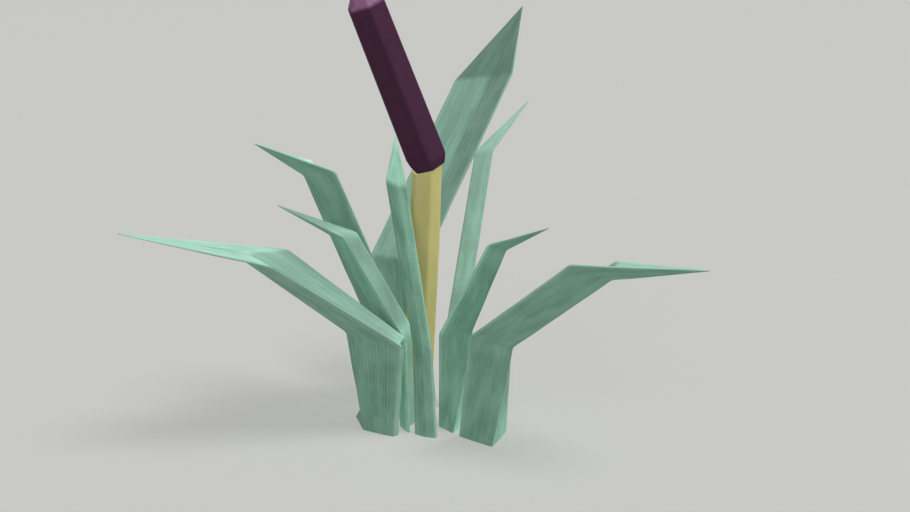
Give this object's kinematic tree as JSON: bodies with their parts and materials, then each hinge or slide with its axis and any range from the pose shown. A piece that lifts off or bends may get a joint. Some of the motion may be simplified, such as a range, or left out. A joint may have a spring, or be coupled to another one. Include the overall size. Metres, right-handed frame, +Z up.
{
  "type": "cattail stalk",
  "caption": "Upright cattail clump cut off level at the ground: keeled, folded green leaves around a tan stem that carries a dark, leaning, velvety seed spike.",
  "frame": {"origin": "middle of the clump's outline, on the level cut that it stands on", "axes": "+Z up along the clump, +X to the right and +Y to the back as the picture shows it"},
  "size_m": [0.2986, 0.1709, 0.2493],
  "materials": {
    "leaf": "satin, finely ribbed",
    "stem": "matt, fibrous",
    "spike": "matt velvet"
  },
  "bodies": {
    "root": {"stem": "stem", "spike": "spike", "leaf_left_long": "leaf", "leaf_back_left": "leaf", "leaf_left_short": "leaf", "leaf_front": "leaf", "leaf_back_broad": "leaf", "leaf_back_right": "leaf", "leaf_right_short": "leaf", "leaf_right_long": "leaf"}
  },
  "joints": []
}
